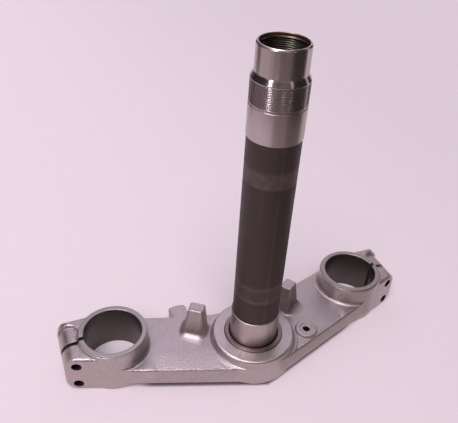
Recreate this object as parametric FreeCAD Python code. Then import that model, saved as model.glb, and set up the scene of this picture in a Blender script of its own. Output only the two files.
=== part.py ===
import FreeCAD, Part
import math
import os

os.makedirs("parts", exist_ok=True)

# Lower triple clamp of a motorcycle fork, with its steering stem pressed in.
# Millimetres. The origin is on the steering axis, at the machined shoulder that the lower
# bearing sits on. +Z runs up the stem, X runs from one fork leg to the other, and +Y points
# to the side that the steering stops and the pinch bolt heads are on.

# Fork clamps
fork_spacing = 208.0
fork_offset = 27.4
fork_bore_diameter = 43.0
clamp_wall = 4.5
clamp_height = 36.0
clamp_below_seat = 27.9
rim_step = 0.7
rim_height = 1.1
rim_foot_radius = 0.4
clamp_foot_radius = 1.6
fork_bore_chamfer = 0.5

# Arms between the clamps and the boss
arm_thickness = 15.0
arm_lift = 5.0
near_wall_inset = 0.9
far_wall_margin = 0.7
far_wall_waist = 23.3
far_blend_radius = 75.0
near_top_edge_radius = 1.6
far_top_edge_radius = 0.8
arm_bottom_edge_radius = 1.5
clamp_deck_fillet = 3.0
clamp_under_fillet = 3.2

# Boss round the stem
boss_radius = 32.8
boss_height_below_seat = 25.6
boss_foot_radius = 1.6
boss_deck_fillet = 1.4
ring_top_radius = 31.7
ring_edge_radius = 1.7
ring_drop = 1.7
seat_collar_radius = 22.4
seat_collar_foot_radius = 0.6
seat_collar_edge_radius = 0.3

# Clamp ears, their slit and their pinch bolt holes
ear_drop = 3.6
ear_reach = 39.0
far_ear_depth = 20.8
ear_far_corner_radius = 4.0
ear_low_corner_radius = 9.0
ear_high_corner_radius = 9.0
ear_edge_radius = 2.3
ear_root_fillet = 1.4
slit_width = 3.2
bolt_reach = 30.7
bolt_height = 6.8
bolt_spacing = 18.4
bolt_thread_hole_diameter = 6.8
bolt_clearance_diameter = 8.5
bolt_step_depth = 4.3
bolt_step_drop = 0.7
bolt_step_root_radius = 7.0
bolt_step_edge_radius = 1.3
bolt_spot_face_diameter = 13.0
bolt_spot_face_depth = 0.8

# Steering stops: two tapered lugs on the deck
stop_x = 40.6
stop_y = 22.0
stop_turn = 35.0
stop_height = 25.0
stop_base_length = 18.9
stop_base_width = 12.6
stop_top_length = 11.8
stop_top_width = 9.3
stop_lean = 1.4
stop_corner_radius = 1.8
stop_top_edge_radius = 1.2
stop_foot_radius = 3.4

# Guide tab on the far edge of one arm
tab_inner_x = -39.8
tab_width = 14.6
tab_depth = 14.4
tab_thickness = 8.0
tab_slope = 1.4
tab_corner_radius = 2.4
tab_root_radius = 2.0
tab_edge_radius = 0.9

# Tapped pad on the deck of the other arm
pad_x = 43.3
pad_y = -8.8
pad_radius = 9.0
pad_top_radius = 8.4
pad_rise = 2.2
pad_edge_radius = 0.9
pad_spot_face_diameter = 11.0
pad_spot_face_depth = 0.35
pad_hole_diameter = 5.0
pad_hole_chamfer = 0.6

# Cast pockets in the underside of each arm
pocket_wall = 5.0
pocket_depth = 9.0
pocket_rib = 3.6
pocket_start = 37.5
pocket_end = 74.0
pocket_corner_radius = 3.2
pocket_post_radius = 6.0

# Steering stem, from its pressed end to its top
stem_press_diameter = 37.0
stem_collar_diameter = 41.0
stem_collar_height = 3.8
stem_collar_inset = 0.4
stem_bore_diameter = 25.0
lower_seat_diameter = 36.5
lower_seat_length = 23.4
tube_diameter = 34.7
tube_end_above_seat = 171.6
upper_seat_diameter = 35.6
upper_seat_length = 20.8
thread_diameter = 35.5
thread_groove_width = 0.8
thread_groove_depth = 0.45
thread_length = 14.0
thread_lead_band = 1.2
stem_cone_height = 3.4
stem_top_diameter = 31.6
stem_top_length = 16.9
stem_top_chamfer_height = 1.0
stem_top_chamfer_width = 0.8
stem_top_edge_radius = 0.6
nut_thread_bore_diameter = 27.0
nut_thread_depth = 24.0
nut_lip_diameter = 28.3
nut_lip_depth = 2.0
stem_step_chamfer = 0.4
press_bore_chamfer = 1.0

# Levels and places that follow from the sizes above
clamp_bottom = -clamp_below_seat
clamp_top = clamp_bottom + clamp_height
arm_bottom = clamp_bottom + arm_lift
deck = arm_bottom + arm_thickness
boss_bottom = -boss_height_below_seat
ring_top = -ring_drop
clamp_x = fork_spacing / 2
clamp_y = fork_offset
clamp_radius = fork_bore_diameter / 2 + clamp_wall
near_wall_reach = clamp_radius - near_wall_inset
far_wall_reach = clamp_radius + far_wall_margin
ear_top = clamp_top - ear_drop
ear_outer_x = clamp_x + ear_reach
ear_far_y = clamp_y + far_ear_depth
bolt_x = clamp_x + bolt_reach
low_bolt_z = clamp_bottom + bolt_height
high_bolt_z = low_bolt_z + bolt_spacing
stem_press_radius = stem_press_diameter / 2


def vector(point, z=0.0):
    return FreeCAD.Vector(point[0], point[1], z)


def line(start, end):
    return Part.LineSegment(vector(start), vector(end)).toShape()


def arc(start, middle, end):
    return Part.Arc(vector(start), vector(middle), vector(end)).toShape()


def polar(centre, radius, angle):
    return (centre[0] + radius * math.cos(angle), centre[1] + radius * math.sin(angle))


def rounded_wire(corners):
    """A closed wire in the XY plane through corners given as (x, y, radius).

    Each corner with a radius becomes the arc that is tangent to its two sides."""
    ends = []
    count = len(corners)
    for number in range(count):
        x, y, radius = corners[number]
        before = corners[number - 1]
        after = corners[(number + 1) % count]
        if radius == 0:
            ends.append(((x, y), None, (x, y)))
            continue
        back = (before[0] - x, before[1] - y)
        ahead = (after[0] - x, after[1] - y)
        back_length = math.hypot(back[0], back[1])
        ahead_length = math.hypot(ahead[0], ahead[1])
        back = (back[0] / back_length, back[1] / back_length)
        ahead = (ahead[0] / ahead_length, ahead[1] / ahead_length)
        half_angle = math.acos(back[0] * ahead[0] + back[1] * ahead[1]) / 2
        cut = radius / math.tan(half_angle)
        bisector = (back[0] + ahead[0], back[1] + ahead[1])
        bisector_length = math.hypot(bisector[0], bisector[1])
        inset = (radius / math.sin(half_angle) - radius) / bisector_length
        start = (x + back[0] * cut, y + back[1] * cut)
        middle = (x + bisector[0] * inset, y + bisector[1] * inset)
        end = (x + ahead[0] * cut, y + ahead[1] * cut)
        ends.append((start, middle, end))
    edges = []
    for number in range(count):
        start, middle, end = ends[number]
        if middle is not None:
            edges.append(arc(start, middle, end))
        edges.append(line(end, ends[(number + 1) % count][0]))
    return Part.Wire(edges)


def prism(wire, low, high):
    """The wire, which lies in the XY plane, filled and raised from low to high."""
    face = Part.Face(wire)
    face.translate(FreeCAD.Vector(0, 0, low))
    return face.extrude(FreeCAD.Vector(0, 0, high - low))


def turned(corners, centre=(0.0, 0.0)):
    """A body turned about a vertical axis through centre, from corners (radius, z, rounding)."""
    face = Part.Face(rounded_wire(corners))
    face.rotate(FreeCAD.Vector(0, 0, 0), FreeCAD.Vector(1, 0, 0), 90)
    body = face.revolve(FreeCAD.Vector(0, 0, 0), FreeCAD.Vector(0, 0, 1), 360)
    body.translate(vector(centre))
    return body


def upright(radius, low, high, centre=(0.0, 0.0)):
    return Part.makeCylinder(radius, high - low, vector(centre, low))


def along_y(radius, start, end, x, z):
    place = FreeCAD.Vector(x, start, z)
    return Part.makeCylinder(radius, end - start, place, FreeCAD.Vector(0, 1, 0))


def mirrored(shape):
    return shape.mirror(FreeCAD.Vector(0, 0, 0), FreeCAD.Vector(1, 0, 0))


def edges_on(shape, normal, reach, wanted):
    """The edges that lie in the flat face with that normal and that reach from the origin, and
    whose middle passes the wanted test."""
    found = []
    for edge in shape.Edges:
        first = edge.FirstParameter
        span = edge.LastParameter - first
        points = [edge.valueAt(first + share * span) for share in (0.0, 0.3, 0.5, 1.0)]
        flat = all(abs(normal.dot(point) - reach) < 1e-4 for point in points)
        if flat and wanted(points[2]):
            found.append(edge)
    return found


def edges_at(shape, level, wanted):
    return edges_on(shape, FreeCAD.Vector(0, 0, 1), level, wanted)


def common_tangent(first_radius, second_radius, side):
    """The line that touches a circle about the stem and a circle about the fork bore.

    side is -1 for the near side and 1 for the far side. Gives the direction of the line's
    outward normal and the two points where it touches."""
    distance = math.hypot(clamp_x, clamp_y)
    bearing = math.atan2(clamp_y, clamp_x)
    normal = bearing + side * math.acos((first_radius - second_radius) / distance)
    first = polar((0, 0), first_radius, normal)
    second = polar((clamp_x, clamp_y), second_radius, normal)
    return normal, first, second


near_normal, near_start, near_end = common_tangent(boss_radius, near_wall_reach, -1)
far_normal, far_start, far_end = common_tangent(far_wall_waist, far_wall_reach, 1)


def point_at_x(start, end, x):
    share = (x - start[0]) / (end[0] - start[0])
    return (x, start[1] + share * (end[1] - start[1]))


def flip(point):
    return (-point[0], point[1])


def arm_outline():
    """The plan of both arms: two straight near walls that touch the boss, and two straight
    far walls. A long hollow arc leads each far wall into the boss, and another arc carries
    it round the clamp into the far ear."""
    reach = boss_radius + far_blend_radius
    swing = math.acos((far_wall_waist + far_blend_radius) / reach)
    blend_centre = polar((0, 0), reach, far_normal - swing)
    on_wall = polar(blend_centre, -far_blend_radius, far_normal)
    on_boss = polar((0, 0), boss_radius, far_normal - swing)
    between = polar(blend_centre, -far_blend_radius, far_normal - swing / 2)
    wrap = math.asin((ear_far_y - clamp_y - slit_width) / far_wall_reach)
    in_ear = polar((clamp_x, clamp_y), far_wall_reach, wrap)
    round_clamp = polar((clamp_x, clamp_y), far_wall_reach, (far_normal + wrap) / 2)
    edges = [
        line(flip(near_start), near_start),
        line(near_start, near_end),
        line(near_end, in_ear),
        arc(in_ear, round_clamp, far_end),
        line(far_end, on_wall),
        arc(on_wall, between, on_boss),
        line(on_boss, flip(on_boss)),
        arc(flip(on_boss), flip(between), flip(on_wall)),
        line(flip(on_wall), flip(far_end)),
        arc(flip(far_end), flip(round_clamp), flip(in_ear)),
        line(flip(in_ear), flip(near_end)),
        line(flip(near_end), flip(near_start)),
    ]
    return Part.Wire(edges)


def on_near_wall(point):
    return abs(point.x) > 1.0 and point.y < 0


def on_far_wall(point):
    from_clamp = math.hypot(abs(point.x) - clamp_x, point.y - clamp_y)
    return point.y > 0 and from_clamp > clamp_radius


def arms():
    plate = prism(arm_outline(), arm_bottom, deck)
    plate = plate.makeFillet(near_top_edge_radius, edges_at(plate, deck, on_near_wall))
    plate = plate.makeFillet(far_top_edge_radius, edges_at(plate, deck, on_far_wall))
    plate = plate.makeFillet(arm_bottom_edge_radius, edges_at(plate, arm_bottom, on_near_wall))
    return plate.makeFillet(arm_bottom_edge_radius, edges_at(plate, arm_bottom, on_far_wall))


def boss():
    return turned([
        (0, boss_bottom, 0),
        (boss_radius, boss_bottom, boss_foot_radius),
        (boss_radius, deck, 0),
        (ring_top_radius, ring_top, ring_edge_radius),
        (seat_collar_radius, ring_top, seat_collar_foot_radius),
        (seat_collar_radius, 0, seat_collar_edge_radius),
        (0, 0, 0),
    ])


def clamp_ring():
    rim_radius = clamp_radius - rim_step
    rim_foot = clamp_top - rim_height
    return turned([
        (0, clamp_bottom, 0),
        (clamp_radius, clamp_bottom, clamp_foot_radius),
        (clamp_radius, rim_foot, rim_foot_radius),
        (rim_radius, rim_foot, 0),
        (rim_radius, clamp_top, 0),
        (0, clamp_top, 0),
    ], (clamp_x, clamp_y))


def root_fillet(radius, level, size, centre, outline, upward=1):
    """The hollow fillet where an upright round wall meets a flat face.

    upward is 1 on top of the face and -1 under it. It is cut off at the face's outline."""
    foot = radius + size
    turn = upward * size
    start = (foot, level)
    middle = (foot - size * math.cos(math.pi / 4), level + turn * (1 - math.sin(math.pi / 4)))
    end = (radius, level + turn)
    core = radius - clamp_wall / 2
    edges = [
        line((core, level - upward), (foot, level - upward)),
        line((foot, level - upward), start),
        arc(start, middle, end),
        line(end, (core, level + turn)),
        line((core, level + turn), (core, level - upward)),
    ]
    face = Part.Face(Part.Wire(edges))
    face.rotate(FreeCAD.Vector(0, 0, 0), FreeCAD.Vector(1, 0, 0), 90)
    body = face.revolve(FreeCAD.Vector(0, 0, 0), FreeCAD.Vector(0, 0, 1), 360)
    body.translate(vector(centre))
    low = level - abs(size) - 1
    high = level + abs(size) + 1
    return body.common(prism(outline, low, high))


def end_profile(top):
    """A body across the whole clamp whose outer end is rounded as seen from the near side."""
    outline = rounded_wire([
        (0, clamp_bottom, 0),
        (ear_outer_x, clamp_bottom, ear_low_corner_radius),
        (ear_outer_x, top, ear_high_corner_radius),
        (0, top, 0),
    ])
    face = Part.Face(outline)
    face.rotate(FreeCAD.Vector(0, 0, 0), FreeCAD.Vector(1, 0, 0), 90)
    face.translate(FreeCAD.Vector(0, -boss_radius, 0))
    return face.extrude(FreeCAD.Vector(0, 2 * boss_radius + ear_far_y, 0))


def ear_outline():
    """The plan of both ears of one clamp, with a near face in line with the arm's near wall."""
    near_outer = point_at_x(near_start, near_end, ear_outer_x)
    return rounded_wire([
        (near_end[0], near_end[1], 0),
        (near_outer[0], near_outer[1], 0),
        (ear_outer_x, ear_far_y, ear_far_corner_radius),
        (clamp_x, ear_far_y, 0),
        (clamp_x, clamp_y, 0),
    ])


def ear():
    """Both ears of one clamp, before the slit parts them: their plan crossed with the
    rounded end profile, with a rounded rim round the near face."""
    body = prism(ear_outline(), clamp_bottom - 1, ear_top + 1).common(end_profile(ear_top))
    normal = vector(polar((0, 0), 1, near_normal))

    def past_ring(point):
        return point.x > near_end[0] + 1 and point.z > clamp_bottom + 1

    rim = edges_on(body, normal, normal.dot(vector(near_end)), past_ring)
    return body.makeFillet(ear_edge_radius, rim)


def bolt_step():
    """The raised end of the far ear that the pinch bolt heads bear on. Its near wall leaves
    the clamp ring in a hollow arc and then runs straight out."""
    wall_y = ear_far_y - bolt_step_depth
    top = clamp_top - bolt_step_drop
    arc_y = wall_y - bolt_step_root_radius
    reach = clamp_radius + bolt_step_root_radius
    arc_x = clamp_x + math.sqrt(reach ** 2 - (arc_y - clamp_y) ** 2)
    bearing = math.atan2(arc_y - clamp_y, arc_x - clamp_x)
    on_ring = polar((clamp_x, clamp_y), clamp_radius, bearing)
    turn = (bearing + math.pi + math.pi / 2) / 2
    middle = polar((arc_x, arc_y), bolt_step_root_radius, turn)
    corner = ear_far_corner_radius
    inset = corner * (1 - math.cos(math.pi / 4))
    wire = Part.Wire([
        line((clamp_x, clamp_y), on_ring),
        arc(on_ring, middle, (arc_x, wall_y)),
        line((arc_x, wall_y), (ear_outer_x, wall_y)),
        line((ear_outer_x, wall_y), (ear_outer_x, ear_far_y - corner)),
        arc((ear_outer_x, ear_far_y - corner), (ear_outer_x - inset, ear_far_y - inset),
            (ear_outer_x - corner, ear_far_y)),
        line((ear_outer_x - corner, ear_far_y), (clamp_x, ear_far_y)),
        line((clamp_x, ear_far_y), (clamp_x, clamp_y)),
    ])
    body = prism(wire, clamp_bottom, top)

    def outside(point):
        beyond_ring = math.hypot(point.x - clamp_x, point.y - clamp_y) > clamp_radius
        return beyond_ring and point.x < ear_outer_x - 1

    body = body.makeFillet(bolt_step_edge_radius, edges_at(body, top, outside))
    return body.common(end_profile(top))


def rectangle(length, width, radius, turn, centre, level):
    half_length = length / 2
    half_width = width / 2
    wire = rounded_wire([
        (-half_length, -half_width, radius),
        (half_length, -half_width, radius),
        (half_length, half_width, radius),
        (-half_length, half_width, radius),
    ])
    wire.rotate(FreeCAD.Vector(0, 0, 0), FreeCAD.Vector(0, 0, 1), turn)
    wire.translate(vector(centre, level))
    return wire


def steering_stop():
    """A tapered lug with rounded corners, standing on the deck in a hollow fillet. Its top
    leans towards the stem."""
    centre = (stop_x, stop_y)
    sunk = 1.0
    share = sunk / stop_height
    low_length = stop_base_length + share * (stop_base_length - stop_top_length)
    low_width = stop_base_width + share * (stop_base_width - stop_top_width)
    top = deck + stop_height
    bearing = math.radians(stop_turn)
    low_centre = polar(centre, share * stop_lean, bearing)
    high_centre = polar(centre, -stop_lean, bearing)
    low = rectangle(low_length, low_width, stop_corner_radius, stop_turn, low_centre, deck - sunk)
    high = rectangle(stop_top_length, stop_top_width, stop_corner_radius, stop_turn, high_centre, top)
    lug = Part.makeLoft([low, high], True, True)
    lug = lug.makeFillet(stop_top_edge_radius, edges_at(lug, top, lambda point: True))
    pad = upright(stop_base_length, deck - sunk, deck, centre)
    pad = pad.common(prism(arm_outline(), deck - sunk, deck))
    lug = lug.fuse(pad)
    half_diagonal = math.hypot(stop_base_length, stop_base_width) / 2

    def at_foot(point):
        return math.hypot(point.x - stop_x, point.y - stop_y) < half_diagonal

    return lug.makeFillet(stop_foot_radius, edges_at(lug, deck, at_foot))


def guide_tab():
    """The short tab that stands out of the far edge, level with the deck."""
    outer_x = tab_inner_x - tab_width
    root_x = outer_x + tab_slope
    inner_wall = point_at_x(flip(far_start), flip(far_end), tab_inner_x)[1]
    outer_wall = point_at_x(flip(far_start), flip(far_end), root_x)[1]
    inside = inner_wall - pocket_wall
    end = inner_wall + tab_depth
    body = prism(rounded_wire([
        (root_x, inside, 0),
        (tab_inner_x, inside, 0),
        (tab_inner_x, end, tab_corner_radius),
        ((outer_x + tab_inner_x) / 2, end + tab_slope, tab_width),
        (outer_x, end, tab_corner_radius),
        (root_x, outer_wall + tab_slope, tab_root_radius),
    ]), deck - tab_thickness, deck)
    rim = edges_at(body, deck, lambda point: point.y > outer_wall + tab_slope)
    return body.makeFillet(tab_edge_radius, rim)


def tapped_pad():
    top = deck + pad_rise
    body = turned([
        (0, deck - 1, 0),
        (pad_radius, deck - 1, 0),
        (pad_radius, deck, 0),
        (pad_top_radius, top, pad_edge_radius),
        (0, top, 0),
    ], (pad_x, pad_y))
    return body.common(prism(arm_outline(), deck - 1, top + 1))


def underside_pockets():
    """Four shallow cast pockets under one arm, parted by a rib along it and a rib across it."""
    inset = pocket_wall
    near_a = polar(near_start, -inset, near_normal)
    near_b = polar(near_end, -inset, near_normal)
    far_a = polar(far_start, -inset, far_normal)
    far_b = polar(far_end, -inset, far_normal)
    middle_x = (pocket_start + pocket_end) / 2
    half_rib = pocket_rib / 2
    spans = [(pocket_start, middle_x - half_rib), (middle_x + half_rib, pocket_end)]
    cells = []
    for first_x, last_x in spans:
        near_first = point_at_x(near_a, near_b, first_x)[1]
        near_last = point_at_x(near_a, near_b, last_x)[1]
        far_first = point_at_x(far_a, far_b, first_x)[1]
        far_last = point_at_x(far_a, far_b, last_x)[1]
        rib_first = (near_first + far_first) / 2
        rib_last = (near_last + far_last) / 2
        rows = [
            (near_first, near_last, rib_first - half_rib, rib_last - half_rib),
            (rib_first + half_rib, rib_last + half_rib, far_first, far_last),
        ]
        for low_first, low_last, high_first, high_last in rows:
            wire = rounded_wire([
                (first_x, low_first, pocket_corner_radius),
                (last_x, low_last, pocket_corner_radius),
                (last_x, high_last, pocket_corner_radius),
                (first_x, high_first, pocket_corner_radius),
            ])
            cells.append(prism(wire, arm_bottom - 1, arm_bottom + pocket_depth))
    return cells


def pinch_slit():
    box = Part.makeBox(ear_reach * 2, slit_width, clamp_height * 2)
    low = clamp_bottom - clamp_height / 2
    box.translate(FreeCAD.Vector(clamp_x, clamp_y - slit_width / 2, low))
    return box


def pinch_holes():
    tools = []
    seat_y = ear_far_y - bolt_spot_face_depth
    for z in (low_bolt_z, high_bolt_z):
        tools.append(along_y(bolt_thread_hole_diameter / 2, -clamp_y, clamp_y, bolt_x, z))
        tools.append(along_y(bolt_clearance_diameter / 2, clamp_y, ear_far_y, bolt_x, z))
        tools.append(along_y(bolt_spot_face_diameter / 2, seat_y, ear_far_y + 1, bolt_x, z))
    return tools


def chamfered_bore(radius, low, high, chamfer, centre=(0.0, 0.0)):
    return turned([
        (0, low - 1, 0),
        (radius + chamfer + 1, low - 1, 0),
        (radius, low + chamfer, 0),
        (radius, high - chamfer, 0),
        (radius + chamfer + 1, high + 1, 0),
        (0, high + 1, 0),
    ], centre)


def lower_yoke():
    bore_centre = (clamp_x, clamp_y)
    solids = [boss()]
    solids.append(root_fillet(boss_radius, deck, boss_deck_fillet, (0.0, 0.0), arm_outline()))
    one_side = [
        clamp_ring(),
        ear(),
        bolt_step(),
        steering_stop(),
        root_fillet(clamp_radius, deck, clamp_deck_fillet, bore_centre, arm_outline()),
        root_fillet(clamp_radius, arm_bottom, clamp_under_fillet, bore_centre, arm_outline(), -1),
        root_fillet(clamp_radius, ear_top, ear_root_fillet, bore_centre, ear_outline()),
    ]
    for solid in one_side:
        solids.append(solid)
        solids.append(mirrored(solid))
    solids.append(guide_tab())
    solids.append(tapped_pad())
    casting = arms().multiFuse(solids).removeSplitter()

    tools = []
    side_tools = [
        chamfered_bore(fork_bore_diameter / 2, clamp_bottom, clamp_top, fork_bore_chamfer, bore_centre),
        pinch_slit(),
    ]
    side_tools.extend(pinch_holes())
    for tool in side_tools:
        tools.append(tool)
        tools.append(mirrored(tool))
    post = upright(pocket_post_radius, arm_bottom - 2, deck, (pad_x, pad_y))
    for cell in underside_pockets():
        tools.append(mirrored(cell))
        tools.append(cell.cut(post))
    tools.append(chamfered_bore(stem_press_radius, boss_bottom, 0, press_bore_chamfer))
    collar_top = boss_bottom + stem_collar_inset + stem_collar_height
    tools.append(upright(stem_collar_diameter / 2, boss_bottom - 1, collar_top))
    pad_top = deck + pad_rise
    tools.append(chamfered_bore(pad_hole_diameter / 2, arm_bottom, pad_top - pad_spot_face_depth,
                                pad_hole_chamfer, (pad_x, pad_y)))
    tools.append(upright(pad_spot_face_diameter / 2, pad_top - pad_spot_face_depth, pad_top + 1,
                         (pad_x, pad_y)))
    return casting.cut(tools)


def steering_stem():
    """One turned steel tube: a collar and a pressed length in the boss, the lower bearing
    seat, the long tube, the upper bearing seat, a threaded length and a plain top."""
    bottom = boss_bottom + stem_collar_inset
    collar_radius = stem_collar_diameter / 2
    collar_top = bottom + stem_collar_height
    lower_seat_radius = lower_seat_diameter / 2
    tube_radius = tube_diameter / 2
    seat_radius = upper_seat_diameter / 2
    thread_radius = thread_diameter / 2
    top_radius = stem_top_diameter / 2
    bore_radius = stem_bore_diameter / 2
    chamfer = stem_step_chamfer
    seat_end = tube_end_above_seat + upper_seat_length
    groove_end = seat_end + thread_groove_width
    cone_start = groove_end + thread_length + thread_lead_band
    cone_end = cone_start + stem_cone_height
    top = cone_end + stem_top_length
    lip_radius = nut_lip_diameter / 2
    nut_radius = nut_thread_bore_diameter / 2
    lip_floor = top - nut_lip_depth
    nut_floor = top - nut_thread_depth
    return turned([
        (bore_radius + chamfer, bottom, 0),
        (collar_radius - chamfer, bottom, 0),
        (collar_radius, bottom + chamfer, 0),
        (collar_radius, collar_top, 0),
        (stem_press_radius, collar_top, 0),
        (stem_press_radius, 0, 0),
        (lower_seat_radius, 0, 0),
        (lower_seat_radius, lower_seat_length - chamfer, 0),
        (tube_radius, lower_seat_length, 0),
        (tube_radius, tube_end_above_seat, 0),
        (seat_radius, tube_end_above_seat + chamfer, 0),
        (seat_radius, seat_end - chamfer / 2, 0),
        (thread_radius - thread_groove_depth, seat_end, 0),
        (thread_radius - thread_groove_depth, groove_end, 0),
        (thread_radius, groove_end + chamfer / 2, 0),
        (thread_radius, cone_start, 0),
        (top_radius, cone_end, 0),
        (top_radius, top - stem_top_chamfer_height, stem_top_edge_radius),
        (top_radius - stem_top_chamfer_width, top, 0),
        (lip_radius, top, 0),
        (lip_radius, lip_floor, 0),
        (nut_radius, lip_floor - (lip_radius - nut_radius), 0),
        (nut_radius, nut_floor, 0),
        (bore_radius, nut_floor - (nut_radius - bore_radius), 0),
        (bore_radius, bottom + chamfer, 0),
    ])


pieces = {
    "lower_yoke": lower_yoke(),
    "steering_stem": steering_stem(),
}

for name, shape in pieces.items():
    print(name, "solids", len(shape.Solids), "valid", shape.isValid(), "volume", round(shape.Volume, 1))
    shape.exportStep("parts/" + name + ".step")
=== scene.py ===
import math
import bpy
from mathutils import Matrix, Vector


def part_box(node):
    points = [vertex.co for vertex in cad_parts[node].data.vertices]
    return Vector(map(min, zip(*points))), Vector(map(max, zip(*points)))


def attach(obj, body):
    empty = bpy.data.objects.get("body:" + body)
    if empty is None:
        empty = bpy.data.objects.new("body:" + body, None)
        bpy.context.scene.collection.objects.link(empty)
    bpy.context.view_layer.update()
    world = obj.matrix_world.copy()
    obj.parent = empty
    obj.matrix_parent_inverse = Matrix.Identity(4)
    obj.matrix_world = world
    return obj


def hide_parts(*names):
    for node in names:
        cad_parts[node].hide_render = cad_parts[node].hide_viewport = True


bl_info = {
    "name": "Lower Triple Clamp",
    "version": (1, 0, 0),
    "blender": (4, 5, 0),
    "location": "View3D > Sidebar > Triple Clamp",
    "description": "Dresses the cast yoke, builds the threaded stem and lights both on a pale floor",
    "category": "Object",
}

import bpy
import numpy as np
from bpy.props import FloatProperty, FloatVectorProperty, PointerProperty
from mathutils import Matrix

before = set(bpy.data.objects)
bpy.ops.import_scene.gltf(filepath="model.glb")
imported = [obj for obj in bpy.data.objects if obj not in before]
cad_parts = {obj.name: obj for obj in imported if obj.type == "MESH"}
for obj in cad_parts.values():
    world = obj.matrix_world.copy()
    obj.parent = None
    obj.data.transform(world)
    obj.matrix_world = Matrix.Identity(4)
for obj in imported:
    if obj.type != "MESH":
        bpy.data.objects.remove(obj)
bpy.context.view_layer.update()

METRE = 1.0
MILLIMETRE = 0.001
BLACK = (0.0, 0.0, 0.0)
FLOOR_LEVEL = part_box("lower_yoke")[0].z


class YokeSettings(bpy.types.PropertyGroup):
    """Colours of the cast yoke and the sizes that its material follows"""

    cast_colour: FloatVectorProperty(
        name="Cast colour", description="Colour of the as-cast aluminium",
        subtype="COLOR", size=3, min=0.0, max=1.0, default=(0.52, 0.452, 0.444))
    cut_colour: FloatVectorProperty(
        name="Cut colour", description="Colour of the freshly machined faces",
        subtype="COLOR", size=3, min=0.0, max=1.0, default=(0.42, 0.365, 0.355))
    # Painted shade: the bored walls are darkened to stand in for the shade inside the fork bores
    bore_shade_colour: FloatVectorProperty(
        name="Bore colour", description="Colour of the dull bored walls that hold the fork tubes",
        subtype="COLOR", size=3, min=0.0, max=1.0, default=(0.125, 0.105, 0.10))
    # Painted shade: the collar's colour is darkened to stand in for the dark surroundings it mirrors
    seat_shade_colour: FloatVectorProperty(
        name="Seat colour", description="Colour of the turned collar that the lower bearing sits on",
        subtype="COLOR", size=3, min=0.0, max=1.0, default=(0.25, 0.195, 0.18))
    # Painted shade: this dark colour stands in for the shade in the bolt holes and in the gap round
    # the stem's foot
    recess_shade_colour: FloatVectorProperty(
        name="Recess colour", description="Colour in the bolt holes and round the foot of the stem",
        subtype="COLOR", size=3, min=0.0, max=1.0, default=(0.05, 0.04, 0.04))
    edge_softness: FloatProperty(
        name="Edge softness", description="Radius that rounds the light on the cast edges",
        unit="LENGTH", default=0.6 * MILLIMETRE)
    foot_reach: FloatProperty(
        name="Foot reach", description="How far the metal flares out in front of each steering stop",
        unit="LENGTH", default=8.0 * MILLIMETRE)
    foot_rise: FloatProperty(
        name="Foot rise", description="How high that flare climbs towards the stop",
        unit="LENGTH", default=1.3 * MILLIMETRE)
    crown_width: FloatProperty(
        name="Crown width",
        description="Width of the strip along the near edge where the deck curves down",
        unit="LENGTH", default=18.0 * MILLIMETRE)
    crown_drop: FloatProperty(
        name="Crown drop", description="How far that strip of the deck has curved down at the edge",
        unit="LENGTH", default=1.0 * MILLIMETRE)
    grain_size: FloatProperty(
        name="Grain size", description="Distance between the grains of the cast skin",
        unit="LENGTH", default=1.0 * MILLIMETRE)
    grain_depth: FloatProperty(
        name="Grain depth", description="Height of the grains of the cast skin",
        unit="LENGTH", default=0.13 * MILLIMETRE)
    fork_spacing: FloatProperty(
        name="Fork spacing", description="Distance between the two fork bores",
        unit="LENGTH", default=208.0 * MILLIMETRE)
    fork_offset: FloatProperty(
        name="Fork offset", description="Distance of the fork bores behind the stem",
        unit="LENGTH", default=27.4 * MILLIMETRE)
    fork_bore_radius: FloatProperty(
        name="Fork bore radius", description="Radius of each fork bore",
        unit="LENGTH", default=21.5 * MILLIMETRE)


class StemSettings(bpy.types.PropertyGroup):
    """Threads and colours of the steering stem"""

    thread_pitch: FloatProperty(
        name="Thread pitch", description="Distance between two turns of the outside thread",
        unit="LENGTH", default=1.0 * MILLIMETRE)
    thread_height: FloatProperty(
        name="Thread height", description="Depth of the outside thread from crest to root",
        unit="LENGTH", default=0.26 * MILLIMETRE)
    nut_thread_pitch: FloatProperty(
        name="Nut thread pitch", description="Distance between two turns of the inside thread",
        unit="LENGTH", default=1.25 * MILLIMETRE)
    nut_thread_height: FloatProperty(
        name="Nut thread height", description="Depth of the inside thread from crest to root",
        unit="LENGTH", default=0.4 * MILLIMETRE)
    steel_colour: FloatVectorProperty(
        name="Steel colour", description="Colour of the ground seats and of the top",
        subtype="COLOR", size=3, min=0.0, max=1.0, default=(0.50, 0.43, 0.43))
    thread_colour: FloatVectorProperty(
        name="Thread colour", description="Colour of the outside thread",
        subtype="COLOR", size=3, min=0.0, max=1.0, default=(0.40, 0.335, 0.34))
    oxide_colour: FloatVectorProperty(
        name="Oxide colour", description="Colour of the dark tube between the bearing seats",
        subtype="COLOR", size=3, min=0.0, max=1.0, default=(0.046, 0.026, 0.023))
    worn_colour: FloatVectorProperty(
        name="Worn colour", description="Colour where the dark skin of the tube is rubbed through",
        subtype="COLOR", size=3, min=0.0, max=1.0, default=(0.16, 0.115, 0.11))
    # Oily, and darkened with painted shade for the shade inside the stem's bore
    inside_shade_colour: FloatVectorProperty(
        name="Inside colour", description="Colour of the oily inside thread and bore",
        subtype="COLOR", size=3, min=0.0, max=1.0, default=(0.085, 0.076, 0.062))
    oil_colour: FloatVectorProperty(
        name="Oil colour", description="Colour of the brown film on the lip of the mouth",
        subtype="COLOR", size=3, min=0.0, max=1.0, default=(0.32, 0.21, 0.15))


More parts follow.
